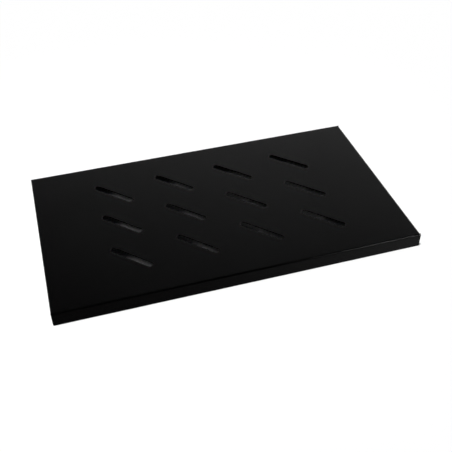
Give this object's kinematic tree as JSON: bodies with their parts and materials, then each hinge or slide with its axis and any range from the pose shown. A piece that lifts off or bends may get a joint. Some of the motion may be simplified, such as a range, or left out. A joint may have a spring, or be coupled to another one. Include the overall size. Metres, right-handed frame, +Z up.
{
  "type": "rack shelf",
  "caption": "Folded sheet-steel shelf for a 19-inch equipment cabinet, with slanted vent slots in its flat top, a flange down every side and slotted screw holes in the side flanges.",
  "frame": {"origin": "centre of the tray in plan, level with the lower edges of the flanges", "axes": "+X to the right along the long front flange, +Y from the front flange to the rear one, +Z up out of the top face"},
  "size_m": [0.485, 0.275, 0.02],
  "materials": {
    "powder_coat": "black semi-matt powder coat on steel sheet"
  },
  "bodies": {
    "root": {"shelf_tray": "powder_coat"}
  },
  "joints": []
}
